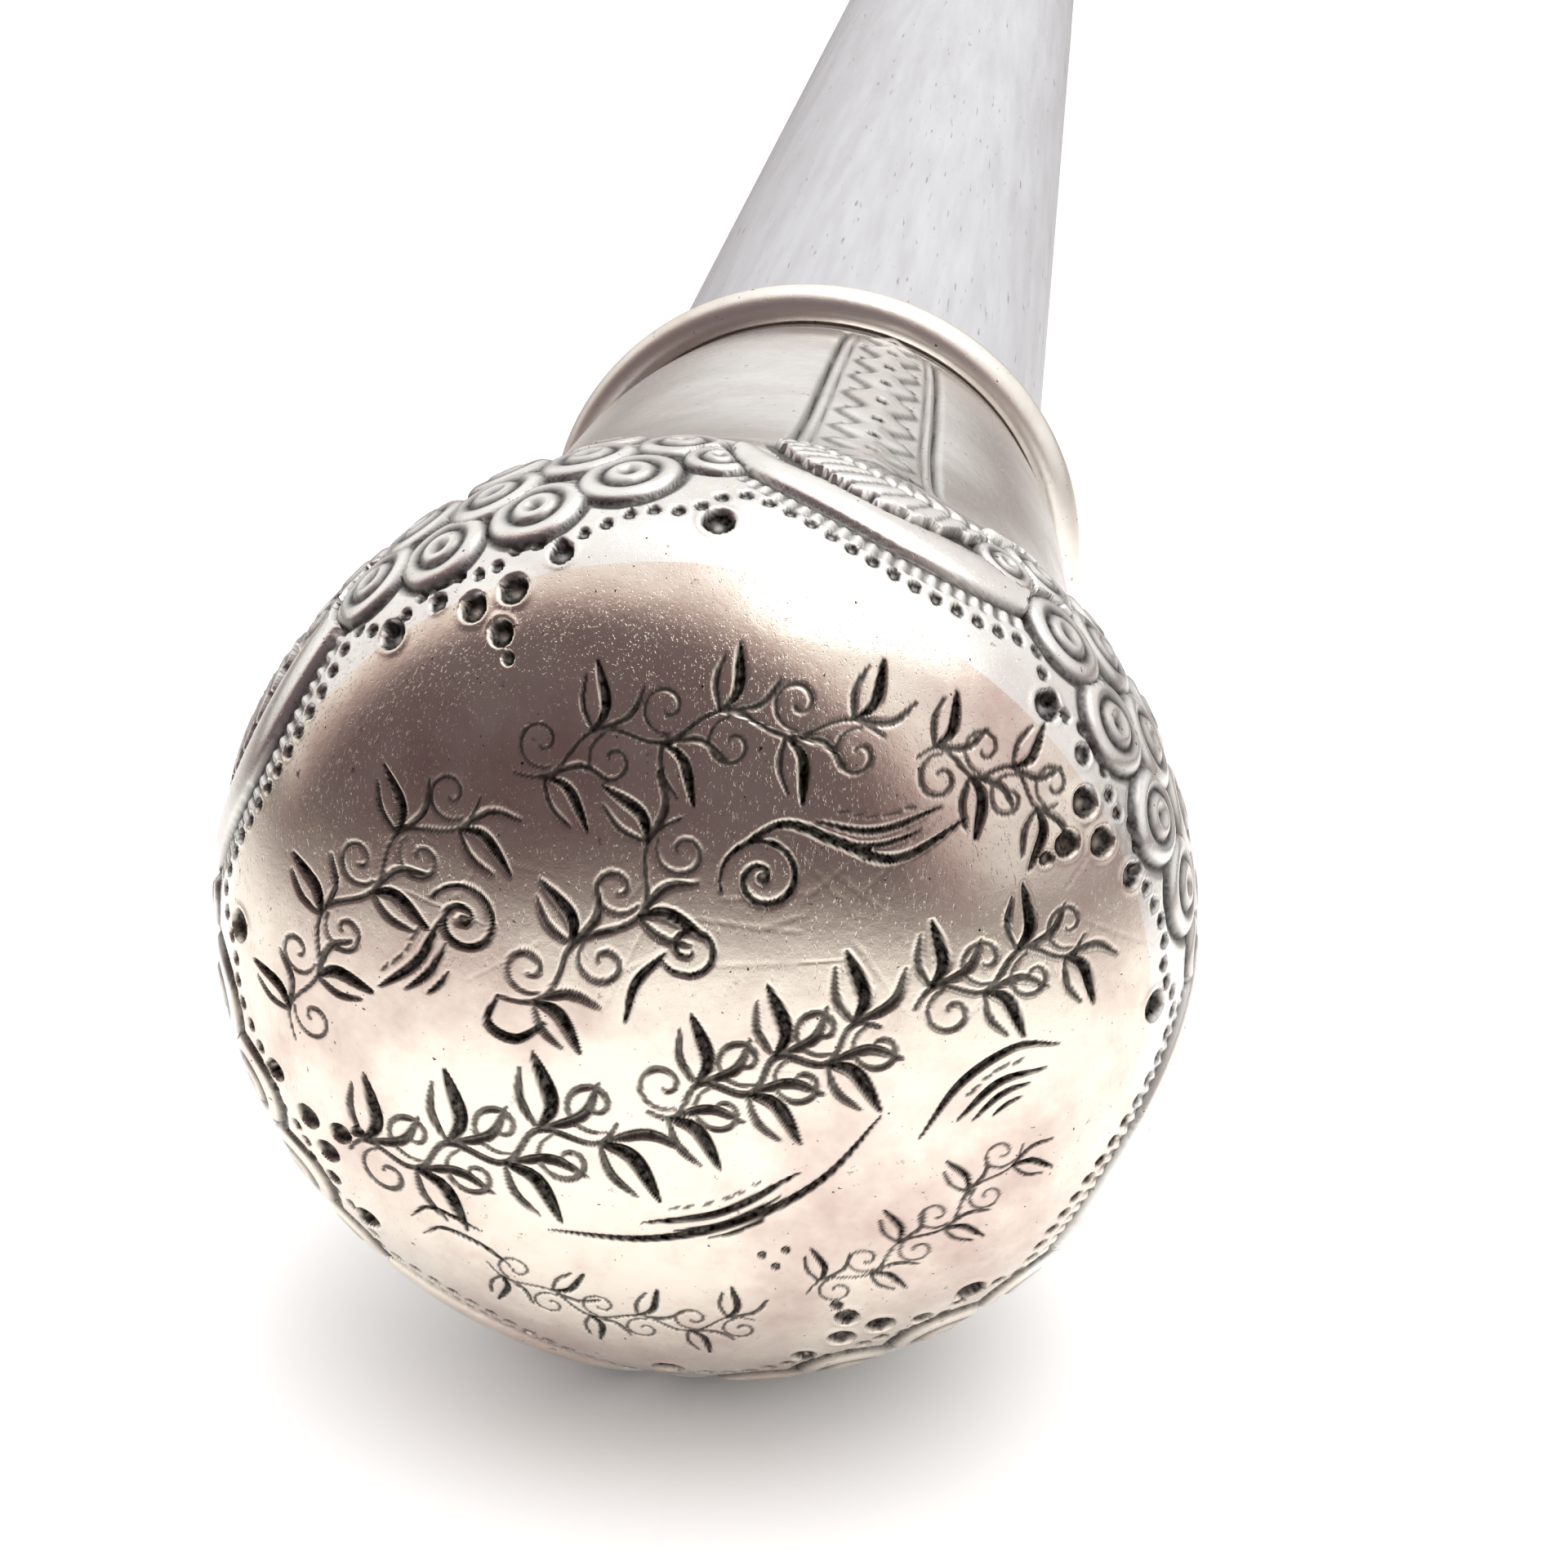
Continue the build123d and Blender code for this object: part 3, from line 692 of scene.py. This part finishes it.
def material_for(slot):
    """The finish of a material slot of the record, made once."""
    if slot in MADE:
        return MADE[slot]
    look = bpy.context.scene.rattle_look
    if slot == "silver_face":
        # rubbed bright by hands: a warm soft mirror, cloudy with toning, with hairlines all over
        made = silver("engraved sterling silver", opaque(look.face), opaque(look.face_aged), 0.17, 0.4)
    elif slot == "silver_chased":
        # hammered and matted: whiter than the face, and black in its grounds
        made = silver("chased sterling silver", opaque(look.chased), opaque(look.chased_aged), 0.2, 0.25)
    elif slot == "silver_bead":
        # drawn wire: softer highlights, and hardly toned
        made = silver("half-round silver wire", opaque(look.bead), linear("#E4DAD0"), 0.3, 0.2, False)
    elif slot == "silver_plain":
        # spun and left satin: grey, with broad highlights
        made = silver("satin sterling silver", opaque(look.plain), linear("#C8BCB2"), 0.26, 0.3, False)
    elif slot == "bone":
        # sawn along the shin and polished: streaks and pores that run with the stick
        made = bone(opaque(look.bone))
    elif slot == "cement":
        # poured resin and brick dust: dull dark brown
        made = plain("setting cement", "#54341F", "#38210F", 0.55, 0.0, 2.0)
    elif slot == "plug_wood":
        # turned between centres: pale brown, with its grain along the neck
        made = plain("turned beech", "#A97F52", "#86603A", 0.6, 0.0, 0.8, (1, 0.12, 1))
    elif slot == "steel":
        # cut from rod: grey, and duller than silver
        made = plain("plain steel", "#B4B6B9", "#85878A", 0.35, 1.0, 1.5)
    elif slot == "shot_steel":
        # tumbled: small bright balls
        made = plain("tumbled steel shot", "#C2C4C7", "#9A9C9F", 0.22, 1.0, 2.5)
    else:
        raise KeyError(f"no finish is given for the slot {slot}")
    MADE[slot] = made
    return made


# ---------------------------------------------------------------------------------------------------------
# Properties and operators

def colour(name, description, hex_colour):
    return FloatVectorProperty(name=name, description=description, default=linear(hex_colour)[:3], size=3,
                               min=0, max=1, subtype="COLOR")


class RattleLook(bpy.types.PropertyGroup):
    relief: FloatProperty(name="Relief", description="Depth of the chasing, as a share of what it has",
                          default=1.0, min=0.2, max=1.5, subtype="FACTOR")
    wall: FloatProperty(name="Wall", description="Thickness of the raised silver",
                        default=WALL * MM, min=0.3 * MM, max=0.7 * MM, unit="LENGTH")
    face: colour("Face silver", "Rubbed silver of the engraved face", "#F3EADD")
    face_aged: colour("Aged face silver", "The same silver where it has toned", "#C9B3AB")
    chased: colour("Chased silver", "Silver of the shoulder and the neck", "#F6F3EF")
    chased_aged: colour("Aged chased silver", "The same silver where it has toned", "#D8D0CC")
    bead: colour("Bead silver", "Half-round wire at the collar and the end cap", "#FAF5EE")
    plain: colour("Plain silver", "End cap, rosette, eye and ring", "#E9E4DD")
    bone: colour("Bone", "The handle", "#DADCE1")


class RattleStage(bpy.types.PropertyGroup):
    lens: FloatProperty(name="Lens", description="Focal length on a 36 mm sensor", default=67.5, unit="CAMERA")
    azimuth: FloatProperty(name="Azimuth", description="How far the camera stands to the right of the axis",
                           default=math.radians(6.59), subtype="ANGLE")
    elevation: FloatProperty(name="Elevation", description="How far the camera looks down",
                             default=math.radians(27.21), subtype="ANGLE")
    aim: FloatVectorProperty(name="Aim", description="Girth's middle from the camera: right, down and ahead",
                             default=(-2.03 * MM, 4.22 * MM, 91.51 * MM), subtype="TRANSLATION", unit="LENGTH")
    sky: FloatProperty(name="Sky", description="Strength of the soft light from above", default=1.04, min=0)
    dark_front: FloatProperty(name="Dark front", description="Strength of the dim zone before the face",
                              default=0.155, min=0)


class RATTLE_OT_face(bpy.types.Operator):
    """The engraved middle of the face and the chased border round it"""
    bl_idname = "rattle.face"
    bl_label = "Face"

    def execute(self, context):
        field_piece()
        shell("face_border", FIELD_ARC, arc_at(SEAM), 62, 4 * FIELD_CELLS, "face_dome", "silver_face")
        return {"FINISHED"}


class RATTLE_OT_shoulder(bpy.types.Operator):
    """The chased shoulder behind the face, in two bands"""
    bl_idname = "rattle.shoulder"
    bl_label = "Shoulder"

    def execute(self, context):
        start, split, end = arc_at(SEAM), arc_at(0) + 2.6, arc_at(SHOULDER_END)
        shell("shoulder_front", start, split, 84, 1080, "shoulder_band", "silver_chased")
        shell("shoulder_back", split, end, 84, 1000, "shoulder_band", "silver_chased")
        return {"FINISHED"}


class RATTLE_OT_neck(bpy.types.Operator):
    """The tapering neck with its four plain panels and four strips"""
    bl_idname = "rattle.neck"
    bl_label = "Neck"

    def execute(self, context):
        shell("neck", arc_at(SHOULDER_END), float(ARC[-1]), 120, 720, "neck_sleeve", "silver_chased")
        return {"FINISHED"}


class RATTLE_OT_finish_nodes(bpy.types.Operator):
    """Gives every CAD solid that stays its finish"""
    bl_idname = "rattle.finish_nodes"
    bl_label = "Finish the CAD solids"

    def execute(self, context):
        for part in frame["record"]["subparts"]:
            node = frame["nodes"][part["node"]]
            node.data.materials.clear()
            node.data.materials.append(material_for(part["material_slot"]))
        return {"FINISHED"}


SMOOTH = {"interpolation_type": "SMOOTHSTEP"}


def lay_floor():
    """White paper, which glows where the camera sees it and, near the rattle, where the face's mirror sees it,
    a painted reflection of light; it keeps the rattle's shadow, and its glow is dimmed close to the rattle, a
    painted contact shadow.
    """
    bm = bmesh.new()
    bmesh.ops.create_grid(bm, x_segments=2, y_segments=2, size=15.0)
    floor = to_object("floor", bm)
    material, tree, shader = new_material("white paper floor")
    shader.inputs["Roughness"].default_value = 0.9
    path = add(tree, "ShaderNodeLightPath")
    place = add(tree, COORDINATES).outputs["Object"]
    far = add(tree, "ShaderNodeVectorMath", {0: place, 1: tuple(GIRTH)}, operation="DISTANCE").outputs["Value"]
    near = {"Value": far, "From Min": 0.03, "From Max": 0.11, "To Min": 1.0, "To Max": 0.0}
    near = add(tree, RANGE, near).outputs[0]
    glossy = path.outputs["Is Glossy Ray"]
    # near the rattle the floor glows in mirror rays too: painted light in the face's reflection
    painted_mirror_glow = add(tree, MATH, {0: glossy, 1: near}, operation="MULTIPLY").outputs[0]
    seen = add(tree, MATH, {0: path.outputs["Is Camera Ray"], 1: painted_mirror_glow}, operation="MAXIMUM").outputs[0]
    seen = add(tree, MATH, {0: seen, 1: path.outputs["Is Transmission Ray"]}, operation="MAXIMUM").outputs[0]
    # the glow is dimmed where the rattle closes the floor in: a painted contact shadow
    painted_contact_shade = add(tree, "ShaderNodeAmbientOcclusion", {"Distance": 0.007}, samples=8).outputs["AO"]
    glow = add(tree, MATH, {0: seen, 1: 0.62}, operation="MULTIPLY").outputs[0]
    glow = add(tree, MATH, {0: glow, 1: painted_contact_shade}, operation="MULTIPLY").outputs[0]
    # in the mirror of the face the floor darkens away from the rattle, as into the dim room: painted shade in
    # the reflection
    painted_mirror_shade = add(tree, RANGE, {"Value": far, "From Min": 0.06, "From Max": 0.2}).outputs[0]
    painted_mirror_shade = add(tree, MATH, {0: glossy, 1: painted_mirror_shade}, operation="MULTIPLY").outputs[0]
    paper = {0: painted_mirror_shade, 6: linear("#E9E8E6"), 7: linear("#8F8582")}
    tree.links.new(add(tree, MIX, paper, data_type="RGBA").outputs[2], shader.inputs["Base Color"])
    shader.inputs["Emission Color"].default_value = (1, 1, 1, 1)
    tree.links.new(glow, shader.inputs["Emission Strength"])
    floor.data.materials.append(material)


def light_room(look):
    """Soft light from all round but for a dim zone before the face, a little to its left, and one softbox."""
    world = bpy.data.worlds.new("soft studio")
    bpy.context.scene.world = world
    world.use_nodes = True
    tree = world.node_tree
    tree.nodes.clear()
    way = add(tree, COORDINATES).outputs["Generated"]
    front = Vector((-0.47, -0.88, 0.08)).normalized()
    toward = add(tree, "ShaderNodeVectorMath", {0: way, 1: front}, operation="DOT_PRODUCT").outputs["Value"]
    dim = add(tree, RANGE, {"Value": toward, "From Min": 0.24, "From Max": 0.56}, **SMOOTH).outputs[0]
    rosy = add(tree, RANGE, {"Value": toward, "From Min": 0.2, "From Max": 0.45}, **SMOOTH).outputs[0]
    tint = add(tree, MIX, {0: rosy, 6: linear("#FFFEFC"), 7: linear("#F6DCCD")}, data_type="RGBA").outputs[2]
    tint = add(tree, MIX, {0: dim, 6: tint, 7: linear("#FFE2E6")}, data_type="RGBA").outputs[2]
    # a grey horizon on every side, so that the metal has something to show from behind
    height = add(tree, "ShaderNodeSeparateXYZ", {0: way}).outputs["Z"]
    low = {"Value": height, "From Min": 0.05, "From Max": 0.35, "To Min": 0.8, "To Max": look.sky}
    low = add(tree, RANGE, low, **SMOOTH).outputs[0]
    level = add(tree, MIX, {0: dim, 2: low, 3: look.dark_front}, data_type="FLOAT").outputs[0]
    light = add(tree, "ShaderNodeBackground", {"Color": tint, "Strength": level}).outputs[0]
    white = add(tree, "ShaderNodeBackground", {"Color": (1, 1, 1, 1), "Strength": 1.0}).outputs[0]
    camera_ray = add(tree, "ShaderNodeLightPath").outputs["Is Camera Ray"]
    both = add(tree, "ShaderNodeMixShader", {0: camera_ray, 1: light, 2: white}).outputs[0]
    add(tree, "ShaderNodeOutputWorld", {"Surface": both})

    lamp = bpy.data.lights.new("overhead softbox", "AREA")
    lamp.shape, lamp.size, lamp.size_y, lamp.energy = "RECTANGLE", 0.9, 0.7, 2.6
    softbox = bpy.data.objects.new("overhead_softbox", lamp)
    softbox.location = (0.25, 0.1, 0.8)
    softbox.rotation_euler = (Vector((0, -0.06, 0)) - softbox.location).to_track_quat("-Z", "Y").to_euler()
    bpy.context.scene.collection.objects.link(softbox)


def set_camera(look):
    """The camera, placed by where the girth's middle lies from it."""
    side, down = look.azimuth, look.elevation
    right = Vector((math.cos(side), math.sin(side), 0))
    ahead = Vector((-math.sin(side) * math.cos(down), math.cos(side) * math.cos(down), -math.sin(down)))
    up = right.cross(ahead)
    lens = bpy.data.cameras.new("camera")
    lens.lens, lens.sensor_width, lens.clip_start, lens.clip_end = look.lens, 36, 0.005, 20
    camera = bpy.data.objects.new("camera", lens)
    x, y, z = look.aim
    stand = GIRTH - right * x + up * y - ahead * z
    camera.matrix_world = Matrix.Translation(stand) @ Matrix((right, up, -ahead)).transposed().to_4x4()
    bpy.context.scene.collection.objects.link(camera)
    bpy.context.scene.camera = camera


class RATTLE_OT_stage(bpy.types.Operator):
    """The pale floor, the soft light and the camera"""
    bl_idname = "rattle.stage"
    bl_label = "Stage"

    def execute(self, context):
        look = context.scene.rattle_stage
        lay_floor()
        light_room(look)
        set_camera(look)
        context.scene.view_settings.view_transform = "Standard"
        return {"FINISHED"}


class RATTLE_PT_panel(bpy.types.Panel):
    """The pieces of the rattle"""
    bl_idname = "RATTLE_PT_panel"
    bl_label = "Rattle"
    bl_space_type = "VIEW_3D"
    bl_region_type = "UI"
    bl_category = "Rattle"

    def draw(self, context):
        for piece in OPERATORS:
            self.layout.operator(piece.bl_idname)
        scene = context.scene
        for group, values in ((RattleLook, scene.rattle_look), (RattleStage, scene.rattle_stage)):
            for name in group.__annotations__:
                self.layout.prop(values, name)


OPERATORS = (RATTLE_OT_face, RATTLE_OT_shoulder, RATTLE_OT_neck, RATTLE_OT_finish_nodes, RATTLE_OT_stage)
CLASSES = (RattleLook, RattleStage) + OPERATORS + (RATTLE_PT_panel,)


def register():
    for cls in CLASSES:
        bpy.utils.register_class(cls)
    bpy.types.Scene.rattle_look = PointerProperty(type=RattleLook)
    bpy.types.Scene.rattle_stage = PointerProperty(type=RattleStage)


def unregister():
    del bpy.types.Scene.rattle_stage
    del bpy.types.Scene.rattle_look
    for cls in reversed(CLASSES):
        bpy.utils.unregister_class(cls)


def main():
    register()
    bpy.ops.rattle.face()
    bpy.ops.rattle.shoulder()
    bpy.ops.rattle.neck()
    bpy.ops.rattle.finish_nodes()
    bpy.ops.rattle.stage()
    bpy.context.view_layer.update()


if __name__ == "__main__":
    main()
